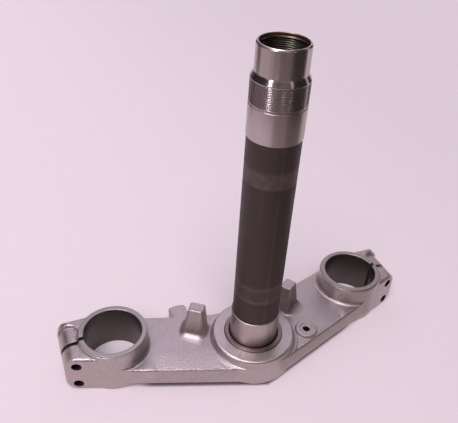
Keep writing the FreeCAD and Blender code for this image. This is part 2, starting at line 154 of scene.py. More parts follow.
class StageSettings(bpy.types.PropertyGroup):
    """Floor, light and camera"""

    floor_colour: FloatVectorProperty(
        name="Floor colour", description="Colour of the pale floor and of the background",
        subtype="COLOR", size=3, min=0.0, max=1.0, default=(0.80, 0.69, 0.76))
    room_light: FloatProperty(
        name="Room light", description="Strength of the soft light from all round the part",
        default=0.36, min=0.0, max=2.0)
    key_light: FloatProperty(
        name="Key light", description="Strength of the one soft light, above and beside the camera",
        default=2.28, min=0.0)
    key_softness: FloatProperty(
        name="Key softness", description="How wide the soft light looks from the part",
        subtype="ANGLE", default=math.radians(40.0))
    camera_place: FloatVectorProperty(
        name="Camera place", description="Where the camera stands",
        subtype="TRANSLATION", unit="LENGTH", size=3, default=(-0.14577, -0.26601, 0.33080))
    camera_pitch: FloatProperty(
        name="Camera pitch", description="How far the camera looks up; negative looks down",
        subtype="ANGLE", default=math.radians(-35.907))
    camera_yaw: FloatProperty(
        name="Camera yaw", description="How far the camera is turned from +Y towards +X",
        subtype="ANGLE", default=math.radians(24.072))
    camera_roll: FloatProperty(
        name="Camera roll", description="How far the camera leans about its own line of sight",
        subtype="ANGLE", default=math.radians(3.502))
    camera_lens: FloatProperty(
        name="Camera lens", description="Focal length in millimetres on a 36 mm wide sensor",
        default=44.08)


def scaled(colour, factor):
    """The colour made lighter or darker by the factor."""
    return tuple(part * factor for part in colour)


def placed(name, data):
    """A new object in the scene that shows this mesh, lamp or camera."""
    made = bpy.data.objects.new(name, data)
    bpy.context.scene.collection.objects.link(made)
    return made


def flat_piece(name, corners):
    """An object with one flat face through the corners."""
    mesh = bpy.data.meshes.new(name)
    mesh.from_pydata(corners, [], [tuple(range(len(corners)))])
    return placed(name, mesh)


class Signal:
    """A number socket of a shader that can be used in sums, products and comparisons."""

    def __init__(self, shader, socket):
        self.shader = shader
        self.socket = socket

    def __add__(self, other):
        return self.shader.maths("ADD", self, other)

    def __radd__(self, other):
        return self.shader.maths("ADD", other, self)

    def __sub__(self, other):
        return self.shader.maths("SUBTRACT", self, other)

    def __rsub__(self, other):
        return self.shader.maths("SUBTRACT", other, self)

    def __mul__(self, other):
        return self.shader.maths("MULTIPLY", self, other)

    def __rmul__(self, other):
        return self.shader.maths("MULTIPLY", other, self)

    def __abs__(self):
        return self.shader.maths("ABSOLUTE", self)

    def clamped(self):
        """The signal kept from 0 to 1."""
        return self.shader.maths("MINIMUM", self.shader.maths("MAXIMUM", self, 0.0), 1.0)

    def spread(self, factor):
        """The signal stretched about 0.5 and kept from 0 to 1."""
        return ((self - 0.5) * factor + 0.5).clamped()

    def above(self, level, softness):
        """0 below the level and 1 above it, with a ramp of the given half width between."""
        return self.shader.node(
            "ShaderNodeMapRange", {"interpolation_type": "SMOOTHSTEP"},
            {"Value": self, "From Min": level - softness, "From Max": level + softness})

    def below(self, level, softness):
        """1 below the level and 0 above it."""
        return 1 - self.above(level, softness)

    def between(self, low, high, softness):
        """1 from the low level to the high one and 0 outside them."""
        return self.above(low, softness) * self.below(high, softness)


class Shader:
    """The nodes of a material or a world, with the few ways of adding them that this file uses."""

    def __init__(self, owner):
        owner.use_nodes = True
        self.tree = owner.node_tree
        self.tree.nodes.clear()

    def raw(self, kind, settings, inputs):
        """Adds a node, sets its settings first and then the values or links of its sockets."""
        made = self.tree.nodes.new(kind)
        for name, value in settings.items():
            setattr(made, name, value)
        for name, value in inputs.items():
            socket = made.inputs[name]
            if isinstance(value, Signal):
                self.tree.links.new(value.socket, socket)
            elif isinstance(value, bpy.types.NodeSocket):
                self.tree.links.new(value, socket)
            else:
                socket.default_value = value
        return made

    def node(self, kind, settings, inputs):
        """A new node's first output as a signal."""
        return Signal(self, self.raw(kind, settings, inputs).outputs[0])

    def maths(self, operation, first, second=None):
        """One operation on a signal, or on two signals or numbers."""
        inputs = {0: first}
        if second is not None:
            inputs[1] = second
        return self.node("ShaderNodeMath", {"operation": operation}, inputs)

    def largest(self, first, *others):
        """The largest of the signals."""
        for other in others:
            first = self.maths("MAXIMUM", first, other)
        return first

    def length(self, across, along):
        """The length of a step across and along: the root of the sum of their squares."""
        return self.maths("SQRT", across * across + along * along)

    def colour(self, value):
        """What a colour socket takes: a link as it is, or three numbers made opaque."""
        if isinstance(value, bpy.types.NodeSocket):
            return value
        return (*value, 1.0)

    def mix(self, share, first, second):
        """The first colour where share is 0 and the second where it is 1, or past it."""
        made = self.raw(
            "ShaderNodeMix", {"data_type": "RGBA", "clamp_factor": True},
            {"Factor": share, 6: self.colour(first), 7: self.colour(second)})
        return made.outputs[2]


class Finish(Shader):
    """A new material whose patterns lie in Object coordinates."""

    def __init__(self, name):
        self.material = bpy.data.materials.new(name)
        super().__init__(self.material)
        self.place = self.raw("ShaderNodeTexCoord", {}, {}).outputs["Object"]
        split = self.raw("ShaderNodeSeparateXYZ", {}, {"Vector": self.place})
        self.x, self.y, self.z = [Signal(self, split.outputs[axis]) for axis in "XYZ"]

    def from_axis(self, x, y):
        """Distance from an upright line through x and y."""
        return self.length(self.x - x, self.y - y)

    def noise(self, size, detail, roughness, stretch=(1.0, 1.0, 1.0)):
        """Noise from 0 to 1 whose features are about size metres across, less along an axis whose
        stretch is more than 1."""
        place = self.raw(
            "ShaderNodeMapping", {},
            {"Vector": self.place, "Scale": tuple(part / size for part in stretch)})
        return self.node(
            "ShaderNodeTexNoise", {},
            {"Vector": place.outputs[0], "Scale": 1.0, "Detail": detail, "Roughness": roughness})

    def bump(self, height, distance, base=None):
        """The normal that a height, in units of distance, gives the surface or its base normal."""
        inputs = {"Height": height, "Distance": distance}
        if base is not None:
            inputs["Normal"] = base
        return self.raw("ShaderNodeBump", {}, inputs).outputs[0]

    def surface(self, **inputs):
        """The finished material; names are the Principled BSDF's, with underscores for spaces."""
        named = {key.replace("_", " "): value for key, value in inputs.items()}
        body = self.raw("ShaderNodeBsdfPrincipled", {}, named)
        self.raw("ShaderNodeOutputMaterial", {}, {"Surface": body.outputs[0]})
        return self.material


# Where the machined parts of the casting begin and end
RIM_WIDTH = 4.2 * MILLIMETRE
RIM_LEVEL = 6.9 * MILLIMETRE
BORE_MARGIN = 0.1 * MILLIMETRE
SEAT_RADIUS = 22.9 * MILLIMETRE
SEAT_LEVEL = -1.75 * MILLIMETRE
SLIT_HALF_WIDTH = 1.62 * MILLIMETRE
SLIT_START = 2.0 * MILLIMETRE
UNDERSIDE_LEVEL = -27.85 * MILLIMETRE
CUT_EDGE = 0.08 * MILLIMETRE

# Holes and slits, whose walls are darkened with painted shade
RECESS_RADIUS = 18.8 * MILLIMETRE
BOLT_REACH = 30.7 * MILLIMETRE
BOLT_MIDDLE = -11.9 * MILLIMETRE
BOLT_SPACING = 18.4 * MILLIMETRE
BOLT_RADIUS = 3.6 * MILLIMETRE
TAP_PLACE = (43.3 * MILLIMETRE, -8.8 * MILLIMETRE)
TAP_RADIUS = 2.7 * MILLIMETRE
HOLE_EDGE = 0.3 * MILLIMETRE
SLIT_PAINTED_SHADE = 0.3

# The raised ring round the bearing seat, painted a little brighter as painted light
RING_INNER_RADIUS = 22.5 * MILLIMETRE
RING_OUTER_RADIUS = 31.4 * MILLIMETRE
RING_LOW = -2.6 * MILLIMETRE
RING_HIGH = 3.0 * MILLIMETRE
RING_EDGE = 0.4 * MILLIMETRE
RING_PAINTED_LIGHT = 1.07

# The upright wall on the near side of each arm: its distance from the stem and its turn
NEAR_WALL_REACH = 32.8 * MILLIMETRE
NEAR_WALL_SINE = 0.3234
NEAR_WALL_COSINE = 0.9463

# The deck's curve towards that wall ends before the clamps and before the boss
CROWN_SIDE = 82.0 * MILLIMETRE
CROWN_SIDE_EDGE = 4.0 * MILLIMETRE
CROWN_FROM_STEM = 35.0 * MILLIMETRE
CROWN_STEM_EDGE = 1.5 * MILLIMETRE
CROWN_EXTRA_GRAIN = 1.3

# The steering stops: their middle, their turn, half their depth, and the flare before them
STOP_PLACE = (40.6 * MILLIMETRE, 22.0 * MILLIMETRE)
STOP_SINE = 0.574
STOP_COSINE = 0.819
STOP_HALF_DEPTH = 6.3 * MILLIMETRE
FOOT_START = 1.19
FOOT_HALF_WIDTH = 8.0 * MILLIMETRE
FOOT_SIDE_EDGE = 3.0 * MILLIMETRE
FOOT_BACK_EDGE = 2.0 * MILLIMETRE

# The patterns of the cast skin and of the machined faces
GRAIN_CONTRAST = 2.2
BLOTCH_SIZE = 9.0 * MILLIMETRE
BLOTCH_CONTRAST = 1.6
SPECK_TO_GRAIN = 0.6
SPECK_LEVEL = 0.60
SPECK_EDGE = 0.05
TOOL_MARK_SIZE = 0.5 * MILLIMETRE
TOOL_MARK_DEPTH = 0.03

# The casting's shade and roughness, and what each pattern and area adds to them
SKIN_SHADE = 0.66
SKIN_SHADE_BY_GRAIN = 0.34
SKIN_SHADE_BY_BLOTCH = 0.12
SKIN_SHADE_BY_SPECK = 0.30
CUT_SHADE = 0.84
CUT_SHADE_BY_TOOL_MARKS = 0.25
CAST_METALLIC = 0.92
CAST_ROUGHNESS = 0.25
CAST_ROUGHNESS_BY_GRAIN = 0.09
CAST_ROUGHNESS_BY_BLOTCH = 0.05
CAST_ROUGHNESS_BY_CUTTING = 0.05
CAST_ROUGHNESS_IN_HOLES = 0.3
BEVEL_SAMPLES = 6


def behind_near_wall(side, y):
    """How far a point lies behind the near wall of its arm: the wall's distance from the stem, less
    the wall's sine times the distance to the side, plus its cosine times y."""
    return NEAR_WALL_REACH - (NEAR_WALL_SINE * side - NEAR_WALL_COSINE * y)


def deck_crown(shader, side, from_stem, crown_width):
    """How far the deck has curved down, from 0 to 1 at the near edge: 1 less the distance behind
    the near wall over the crown's width, on the arm between the boss and the clamp."""
    crown = (1.0 - behind_near_wall(side, shader.y) * (1.0 / crown_width)).clamped()
    crown = crown * side.below(CROWN_SIDE, CROWN_SIDE_EDGE)
    return crown * from_stem.above(CROWN_FROM_STEM, CROWN_STEM_EDGE)


def stop_foot(shader, side, foot_reach):
    """How high the flare before a steering stop is, from 0 to 1: the square of its start less the
    distance before the stop over the flare's reach, between the sides of the stop."""
    stop_x = side - STOP_PLACE[0]
    stop_y = shader.y - STOP_PLACE[1]
    before = STOP_SINE * stop_x - STOP_COSINE * stop_y - STOP_HALF_DEPTH
    beside = STOP_COSINE * stop_x + STOP_SINE * stop_y
    foot = (FOOT_START - before * (1.0 / foot_reach)).clamped()
    foot = foot * foot * abs(beside).below(FOOT_HALF_WIDTH, FOOT_SIDE_EDGE)
    return foot * before.above(-FOOT_BACK_EDGE, FOOT_BACK_EDGE)


def cast_aluminium(settings):
    """Fine-grained cast skin, with machined rims, bores, bearing seat and slits. Painted shade
    darkens the holes, the slits, the bores, the bearing seat and the gap round the stem's foot, and
    painted light brightens the raised ring.

    The bump's height is the grain on the cast skin or the tool marks on the machined faces, less
    the square of the deck's crown times its drop, plus the flare before the steering stops."""
    shader = Finish("cast_aluminium")
    bore = settings.fork_bore_radius
    side = abs(shader.x)
    across = side - settings.fork_spacing / 2
    along = shader.y - settings.fork_offset
    from_bore = shader.length(across, along)
    from_stem = shader.from_axis(0.0, 0.0)

    rim = from_bore.below(bore + RIM_WIDTH, CUT_EDGE) * shader.z.above(RIM_LEVEL, CUT_EDGE)
    bore_wall = from_bore.below(bore + BORE_MARGIN, CUT_EDGE)
    seat = from_stem.below(SEAT_RADIUS, CUT_EDGE) * shader.z.above(SEAT_LEVEL, CUT_EDGE)
    recess = from_stem.below(RECESS_RADIUS, HOLE_EDGE)
    slit = abs(along).below(SLIT_HALF_WIDTH, CUT_EDGE) * across.above(bore - SLIT_START, CUT_EDGE)
    underside = shader.z.below(UNDERSIDE_LEVEL, CUT_EDGE / 2)
    cut = shader.largest(rim, bore_wall, seat, recess, slit, underside)
    bolt_row = abs(abs(shader.z - BOLT_MIDDLE) - BOLT_SPACING / 2)
    bolt_hole = shader.length(across - BOLT_REACH, bolt_row).below(BOLT_RADIUS, HOLE_EDGE)
    tapped_hole = shader.from_axis(*TAP_PLACE).below(TAP_RADIUS, HOLE_EDGE)
    deep = shader.largest(recess, bolt_hole, tapped_hole)
    ring = from_stem.between(RING_INNER_RADIUS, RING_OUTER_RADIUS, RING_EDGE)
    ring = ring * shader.z.between(RING_LOW, RING_HIGH, CUT_EDGE)

    grain = shader.noise(settings.grain_size, detail=2.0, roughness=0.6).spread(GRAIN_CONTRAST)
    blotch = shader.noise(BLOTCH_SIZE, detail=3.0, roughness=0.55).spread(BLOTCH_CONTRAST)
    speck = shader.noise(settings.grain_size * SPECK_TO_GRAIN, detail=1.0, roughness=0.5)
    speck = speck.above(SPECK_LEVEL, SPECK_EDGE)
    tool_marks = shader.noise(TOOL_MARK_SIZE, detail=2.0, roughness=0.5)

    shade = SKIN_SHADE + SKIN_SHADE_BY_GRAIN * grain + SKIN_SHADE_BY_BLOTCH * blotch
    shade = shade + SKIN_SHADE_BY_SPECK * speck
    # Painted light: the raised ring's colour is made a little brighter for the light it catches
    skin = shader.mix(ring, settings.cast_colour, scaled(settings.cast_colour, RING_PAINTED_LIGHT))
    skin = shader.mix(shade, BLACK, skin)
    cut_shade = CUT_SHADE + CUT_SHADE_BY_TOOL_MARKS * tool_marks
    machined = shader.mix(cut_shade, BLACK, settings.cut_colour)
    # Painted shade inside the fork bores
    machined = shader.mix(bore_wall, machined, settings.bore_shade_colour)
    # Painted shade: the slit walls are darkened for the shade inside the slits
    machined = shader.mix(slit, machined, scaled(settings.cut_colour, SLIT_PAINTED_SHADE))
    # Painted shade on the bearing seat collar, for the dark surroundings it mirrors
    machined = shader.mix(seat, machined, settings.seat_shade_colour)
    colour = shader.mix(cut, skin, machined)
    # Painted shade in the bolt holes, the tapped hole and the gap round the stem's foot
    colour = shader.mix(deep, colour, settings.recess_shade_colour)
    roughness = CAST_ROUGHNESS + CAST_ROUGHNESS_BY_GRAIN * grain
    roughness = roughness + CAST_ROUGHNESS_BY_BLOTCH * blotch + CAST_ROUGHNESS_BY_CUTTING * cut
    roughness = roughness + CAST_ROUGHNESS_IN_HOLES * deep

    crown = deck_crown(shader, side, from_stem, settings.crown_width)
    height = (1 - cut) * grain * (1.0 + CROWN_EXTRA_GRAIN * crown)
    height = height + TOOL_MARK_DEPTH * cut * tool_marks
    height = height * settings.grain_depth
    height = height - (1 - cut) * crown * crown * settings.crown_drop
    height = height + stop_foot(shader, side, settings.foot_reach) * settings.foot_rise
    rounded = shader.raw(
        "ShaderNodeBevel", {"samples": BEVEL_SAMPLES}, {"Radius": settings.edge_softness})
    return shader.surface(
        Base_Color=colour, Metallic=CAST_METALLIC, Roughness=roughness,
        Normal=shader.bump(height, METRE, rounded.outputs[0]))


# The stem's lathe profile as radius and height, and the runs that carry threads, in millimetres
THREAD_RADIUS = 17.75
THREAD_LOW = 193.4
THREAD_HIGH = 208.3
NUT_THREAD_RADIUS = 13.5
NUT_THREAD_LOW = 204.7
NUT_THREAD_HIGH = 226.0
STEM_PROFILE = (
    # Collar under the boss
    (12.9, -25.2), (20.1, -25.2), (20.5, -24.8), (20.5, -21.4),
    # Pressed length and lower bearing seat
    (18.48, -21.4), (18.48, 0.0), (18.25, 0.0), (18.25, 23.0),
    # Tube and upper bearing seat
    (17.35, 23.4), (17.35, 171.6), (17.8, 172.0), (17.8, 192.2),
    # Relief groove and outside thread
    (17.3, 192.4), (17.3, 193.2), (THREAD_RADIUS, THREAD_LOW), (THREAD_RADIUS, THREAD_HIGH),
    # Cone, plain top and its chamfer
    (15.8, 211.8), (15.8, 227.7), (15.0, 228.7),
    # Lip of the mouth
    (14.4, 228.7), (14.15, 228.45), (14.15, 226.7),
    # Inside thread and bore
    (NUT_THREAD_RADIUS, NUT_THREAD_HIGH), (NUT_THREAD_RADIUS, NUT_THREAD_LOW),
    (12.5, 203.7), (12.5, -24.8),
)

# How finely the stem's surface is divided
STEM_COLUMNS = 192
THREAD_ROWS = 168
NUT_THREAD_ROWS = 154
CORNER_REACH = 0.16 * MILLIMETRE
CORNER_STEPS = 4
MOST_OF_A_SIDE = 0.4
SHARP_ANGLE = math.radians(50)

# Where the stem's finishes begin and end
OUTSIDE_RADIUS = 14.5 * MILLIMETRE
OUTSIDE_EDGE = 0.1 * MILLIMETRE
FINISH_EDGE = 0.25 * MILLIMETRE
STEM_FOOT_LEVEL = 0.15 * MILLIMETRE
TUBE_LOW = 23.2 * MILLIMETRE
TUBE_HIGH = 171.8 * MILLIMETRE
THREAD_FINISH_LOW = 193.0 * MILLIMETRE
THREAD_FINISH_HIGH = 211.4 * MILLIMETRE
GROOVE_HIGH = 208.2 * MILLIMETRE
GROOVE_EDGE = 0.1 * MILLIMETRE
TOP_LOW = 211.6 * MILLIMETRE
LIP_LOW = 226.6 * MILLIMETRE

# The thread's grooves, as shares of its height, and the two colours darkened as painted shade: in
# the grooves and at the stem's foot
GROOVE_DEPTH_SHARE = 0.7
GROOVE_SOFT_SHARE = 0.2
GROOVE_PAINTED_SHADE = 0.4
STEM_FOOT_PAINTED_SHADE = 0.2

# Where the tube's dark skin is rubbed through
BAND_LOW = 141.5 * MILLIMETRE
BAND_LOW_EDGE = 0.8 * MILLIMETRE
BAND_HIGH = 153.0 * MILLIMETRE
BAND_HIGH_EDGE = 2.5 * MILLIMETRE
LOWER_WEAR_LOW = 44.0 * MILLIMETRE
LOWER_WEAR_HIGH = 58.0 * MILLIMETRE
LOWER_WEAR_EDGE = 1.2 * MILLIMETRE
UPPER_RING_LOW = 56.0 * MILLIMETRE
UPPER_RING_HIGH = 59.4 * MILLIMETRE
LOWER_RING_LOW = 43.4 * MILLIMETRE
LOWER_RING_HIGH = 46.4 * MILLIMETRE
WEAR_RING_EDGE = 1.4 * MILLIMETRE
DRAWN_LINE_LEVEL = 0.80
DRAWN_LINE_EDGE = 0.15
SCRATCH_X = -1.5 * MILLIMETRE
SCRATCH_HALF_WIDTH = 0.6 * MILLIMETRE
SCRATCH_LEVEL = 0.25
SCRATCH_FADE = 0.2

# How deeply each of them is rubbed, and how far stains change the bands
BAND_WEAR = 0.42
LOWER_WEAR = 0.15
RING_WEAR = 0.22
UNSTAINED_WEAR = 0.3
STAINED_WEAR = 0.9
DRAWN_LINE_WEAR = 0.22
SCRATCH_WEAR = 0.14

# The patterns of the steel, whose stretch draws them round the stem or along it
STEEL_MARK_SIZE = 1.0 * MILLIMETRE
ROUND_THE_STEM = (0.12, 0.12, 5.0)
ALONG_THE_STEM = (1.1, 1.1, 0.02)
STEM_BLOTCH_SIZE = 12.0 * MILLIMETRE
STAIN_SIZE = 4.0 * MILLIMETRE
STEEL_CONTRAST = 1.8
STAIN_CONTRAST = 2.0
DRAWN_DEPTH = 0.002 * MILLIMETRE

# The stem's shades and roughness, and what each pattern and area adds to them
OXIDE_SHADE = 0.60
OXIDE_SHADE_BY_BLOTCH = 0.35
OXIDE_SHADE_BY_STAIN = 0.25
OXIDE_SHADE_BY_TURNING = 0.2
STEEL_SHADE = 0.84
STEEL_SHADE_BY_TURNING = 0.06
STEEL_SHADE_BY_DRAWING = 0.16
STEEL_ROUGHNESS = 0.29
STEEL_ROUGHNESS_BY_TURNING = 0.03
STEEL_ROUGHNESS_IN_GROOVES = 0.15
SMOOTHER_ON_THREAD = 0.12
SMOOTHER_ON_TOP = 0.06
TUBE_ROUGHNESS = 0.20
TUBE_ROUGHNESS_BY_BLOTCH = 0.10
SMOOTHER_BY_WEAR = 0.08
LESS_METALLIC_ON_TUBE = 0.6
STEEL_SPECULAR = 0.6


def tube_wear(shader, drawn, blotch, stain):
    """How far the tube's dark skin is rubbed through: a band under the upper seat, a fainter one
    above the foot with a ring at each end, drawn lines, and a long scratch on the near side."""
    z = shader.z
    band = z.above(BAND_LOW, BAND_LOW_EDGE) * z.below(BAND_HIGH, BAND_HIGH_EDGE)
    lower_wear = z.between(LOWER_WEAR_LOW, LOWER_WEAR_HIGH, LOWER_WEAR_EDGE)
    rings = z.between(UPPER_RING_LOW, UPPER_RING_HIGH, WEAR_RING_EDGE)
    rings = rings + z.between(LOWER_RING_LOW, LOWER_RING_HIGH, WEAR_RING_EDGE)
    wear = BAND_WEAR * band + LOWER_WEAR * lower_wear + RING_WEAR * rings
    wear = wear * (UNSTAINED_WEAR + STAINED_WEAR * stain)
    wear = wear + DRAWN_LINE_WEAR * drawn.above(DRAWN_LINE_LEVEL, DRAWN_LINE_EDGE)
    scratch = abs(shader.x - SCRATCH_X).below(SCRATCH_HALF_WIDTH, SCRATCH_HALF_WIDTH)
    scratch = scratch * shader.y.below(0.0, FINISH_EDGE) * blotch.above(SCRATCH_LEVEL, SCRATCH_FADE)
    return wear + SCRATCH_WEAR * scratch


def stem_steel(settings):
    """Ground seats, a thread whose grooves are darkened with painted shade, a polished top, an oily
    inside darkened with painted shade, a painted shadow line at the foot, and a dark oxide skin on
    the tube, worn in places."""
    shader = Finish("stem_steel")
    z = shader.z
    turning = shader.noise(STEEL_MARK_SIZE, detail=2.0, roughness=0.6, stretch=ROUND_THE_STEM)
    turning = turning.spread(STEEL_CONTRAST)
    drawn = shader.noise(STEEL_MARK_SIZE, detail=3.0, roughness=0.7, stretch=ALONG_THE_STEM)
    drawn = drawn.spread(STEEL_CONTRAST)
    blotch = shader.noise(STEM_BLOTCH_SIZE, detail=4.0, roughness=0.6).spread(STEEL_CONTRAST)
    stain = shader.noise(STAIN_SIZE, detail=4.0, roughness=0.65).spread(STAIN_CONTRAST)
    from_axis = shader.from_axis(0.0, 0.0)
    outside = from_axis.above(OUTSIDE_RADIUS, OUTSIDE_EDGE)

    tube = z.between(TUBE_LOW, TUBE_HIGH, FINISH_EDGE) * outside
    thread = z.between(THREAD_FINISH_LOW, THREAD_FINISH_HIGH, FINISH_EDGE) * outside
    top = z.above(TOP_LOW, FINISH_EDGE) * outside
    # Painted shade darkens the roots of the outside thread
    groove_radius = THREAD_RADIUS * MILLIMETRE - GROOVE_DEPTH_SHARE * settings.thread_height
    groove = from_axis.below(groove_radius, GROOVE_SOFT_SHARE * settings.thread_height)
    groove = groove * thread * z.below(GROOVE_HIGH, GROOVE_EDGE)

    oxide_shade = OXIDE_SHADE + OXIDE_SHADE_BY_BLOTCH * blotch
    oxide_shade = oxide_shade + OXIDE_SHADE_BY_STAIN * stain + OXIDE_SHADE_BY_TURNING * turning
    wear = tube_wear(shader, drawn, blotch, stain)
    oxide = shader.mix(oxide_shade, BLACK, settings.oxide_colour)
    oxide = shader.mix(wear, oxide, settings.worn_colour)
    steel_shade = STEEL_SHADE + STEEL_SHADE_BY_TURNING * turning + STEEL_SHADE_BY_DRAWING * drawn
    steel = shader.mix(steel_shade, BLACK, settings.steel_colour)
    steel = shader.mix(thread, steel, settings.thread_colour)
    steel = shader.mix(groove, steel, scaled(settings.thread_colour, GROOVE_PAINTED_SHADE))
    inside = shader.mix(z.above(LIP_LOW, FINISH_EDGE), settings.inside_shade_colour, settings.oil_colour)
    steel = shader.mix(outside, inside, steel)
    colour = shader.mix(tube, steel, oxide)
    # Painted shadow: a dark line at the stem's foot stands in for the shade in the gap at the yoke
    foot_shadow_colour = scaled(settings.inside_shade_colour, STEM_FOOT_PAINTED_SHADE)
    colour = shader.mix(z.below(STEM_FOOT_LEVEL, FINISH_EDGE), colour, foot_shadow_colour)

    roughness = STEEL_ROUGHNESS + STEEL_ROUGHNESS_BY_TURNING * turning
    roughness = roughness - SMOOTHER_ON_THREAD * thread + STEEL_ROUGHNESS_IN_GROOVES * groove
    roughness = roughness - SMOOTHER_ON_TOP * top
    tube_extra = TUBE_ROUGHNESS + TUBE_ROUGHNESS_BY_BLOTCH * blotch - SMOOTHER_BY_WEAR * wear
    return shader.surface(
        Base_Color=colour, Metallic=1.0 - LESS_METALLIC_ON_TUBE * tube,
        Roughness=roughness + tube * tube_extra, Specular_IOR_Level=STEEL_SPECULAR,
        Normal=shader.bump(drawn * (1 - thread), DRAWN_DEPTH))


def softened(corners, reach, steps):
    """The closed profile with every corner C rounded: from a point A on the side before it to a
    point B on the side after it, along (1 - t)^2 A + 2 t (1 - t) C + t^2 B. A and B lie at the
    given reach from C, or at the most of a side where that is less."""
    corner = np.array(corners)
    before = np.roll(corner, 1, axis=0) - corner
    after = np.roll(corner, -1, axis=0) - corner
    before_length = np.linalg.norm(before, axis=1, keepdims=True)
    after_length = np.linalg.norm(after, axis=1, keepdims=True)
    start = corner + before * np.minimum(reach / before_length, MOST_OF_A_SIDE)
    end = corner + after * np.minimum(reach / after_length, MOST_OF_A_SIDE)
    t = np.linspace(0, 1, steps)[None, :, None]
    arcs = (1 - t) ** 2 * start[:, None] + 2 * t * (1 - t) * corner[:, None] + t ** 2 * end[:, None]
    return arcs.reshape(-1, 2)


def divided(profile, low, high, count):
    """The profile with count + 1 even rows in its straight run from low to high, all of that run's
    radius, and the numbers of the run's first and last row."""
    low_row = int(np.argmin(np.hypot(*(profile - low).T)))
    high_row = int(np.argmin(np.hypot(*(profile - high).T)))
    share = np.linspace(0, 1, count + 1)[1:-1, None]
    run = profile[low_row] + share * (profile[high_row] - profile[low_row])
    rows = np.concatenate([profile[:low_row + 1], run, profile[high_row:]])
    return rows, low_row, low_row + count


def thread_wave(turns):
    """Height of a rounded thread, 0 at its root and 1 at its crest: half of 1 minus the cosine of
    one full circle per turn."""
    return 0.5 - 0.5 * np.cos(2 * np.pi * turns)


def stem_grid(settings):
    """Radius and height of every point of the stem, as arrays over rows and columns.

    The rows follow the lathe profile. On the two threaded runs the radius also takes the thread
    wave of (height / pitch - turn), where turn goes from 0 to 1 once round the columns, so that
    each crest climbs one pitch in a turn. The wave fades in over one pitch at both ends."""
    profile = softened(np.array(STEM_PROFILE) * MILLIMETRE, CORNER_REACH, CORNER_STEPS)
    outer_low = np.array([THREAD_RADIUS, THREAD_LOW]) * MILLIMETRE
    outer_high = np.array([THREAD_RADIUS, THREAD_HIGH]) * MILLIMETRE
    profile, outer_first, outer_last = divided(profile, outer_low, outer_high, THREAD_ROWS)
    inner_high = np.array([NUT_THREAD_RADIUS, NUT_THREAD_HIGH]) * MILLIMETRE
    inner_low = np.array([NUT_THREAD_RADIUS, NUT_THREAD_LOW]) * MILLIMETRE
    profile, inner_first, inner_last = divided(profile, inner_high, inner_low, NUT_THREAD_ROWS)
    turn = np.arange(STEM_COLUMNS) / STEM_COLUMNS
    radius = np.repeat(profile[:, :1], STEM_COLUMNS, axis=1)
    height = np.repeat(profile[:, 1:], STEM_COLUMNS, axis=1)
    cuts = (
        (outer_first, outer_last, settings.thread_pitch, -settings.thread_height),
        (inner_first, inner_last, settings.nut_thread_pitch, settings.nut_thread_height),
    )
    for first, last, pitch, depth in cuts:
        rows = slice(first, last + 1)
        along = height[rows]
        low, high = along.min(), along.max()
        fade = np.clip((along - low) / pitch, 0, 1) * np.clip((high - along) / pitch, 0, 1)
        radius[rows] += depth * fade * (1 - thread_wave(along / pitch - turn))
    return radius, height


def turned_piece(name, radius, height):
    """A closed surface of revolution: point (row, column) is (radius cos t, radius sin t, height),
    where radius and height are arrays over rows and columns and t runs once round the columns."""
    rows, columns = radius.shape
    angle = np.linspace(0, 2 * np.pi, columns, endpoint=False)
    points = np.stack([radius * np.cos(angle), radius * np.sin(angle), height], axis=-1)
    index = np.arange(rows * columns).reshape(rows, columns)
    above = np.roll(index, -1, axis=0)
    beside = np.roll(index, -1, axis=1)
    across = np.roll(above, -1, axis=1)
    faces = np.stack([index, beside, across, above], axis=-1).reshape(-1, 4)
    mesh = bpy.data.meshes.new(name)
    mesh.from_pydata(points.reshape(-1, 3), [], faces)
    mesh.update()
    mesh.shade_smooth()
    mesh.set_sharp_from_angle(angle=SHARP_ANGLE)
    return placed(name, mesh)


class TRIPLECLAMP_OT_yoke(bpy.types.Operator):
    """Gives the cast yoke its aluminium skin and its machined faces"""

    bl_idname = "triple_clamp.yoke"
    bl_label = "Cast Yoke"

    def execute(self, context):
        material = cast_aluminium(context.scene.clamp_yoke)
        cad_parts["lower_yoke"].material_slots[0].material = material
        return {"FINISHED"}


class TRIPLECLAMP_OT_stem(bpy.types.Operator):
    """Builds the steering stem with the turns of its outside and inside threads"""

    bl_idname = "triple_clamp.stem"
    bl_label = "Steering Stem"

    def execute(self, context):
        settings = context.scene.clamp_stem
        radius, height = stem_grid(settings)
        stem = turned_piece("threaded_stem", radius, height)
        stem.data.materials.append(stem_steel(settings))
        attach(stem, "root")
        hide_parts("steering_stem")
        return {"FINISHED"}


def upright_corners(start, end, low, high):
    """The corners of an upright card over the floor from start to end."""
    return [(*start, low), (*end, low), (*end, high), (*start, high)]


def level_corners(height, *corners):
    """The corners of a level card."""
    return [(*corner, height) for corner in corners]


# The floor, with painted light that makes it paler on the left and darker on the right, and a
# painted contact shadow under the two arms
FLOOR_REACH = 40.0
FLOOR_FALL_MIDDLE = 0.10
FLOOR_FALL_EDGE = 0.36
FLOOR_LEFT_PAINTED_LIGHT = 1.05
FLOOR_RIGHT_PAINTED_SHADE = 0.90
CONTACT_NEAR = 1.5 * MILLIMETRE
CONTACT_FAR = 38.0 * MILLIMETRE
CONTACT_EDGE = 1.5 * MILLIMETRE
CONTACT_SIDE = 88.0 * MILLIMETRE
CONTACT_SIDE_EDGE = 6.0 * MILLIMETRE
CONTACT_SHADOW_SHARE = 0.75
CONTACT_SHADOW_COLOUR = (0.05, 0.035, 0.035)
FLOOR_ROUGHNESS = 0.9

# The lamp, the room and the camera
KEY_COLOUR = (1.0, 0.97, 0.99)
KEY_PLACE = (-0.44, -0.60, 1.39)
ROOM_COLOUR = (1.0, 0.96, 0.98)
SENSOR_WIDTH = 36.0
CLIP_START = 0.01
CLIP_END = 50.0

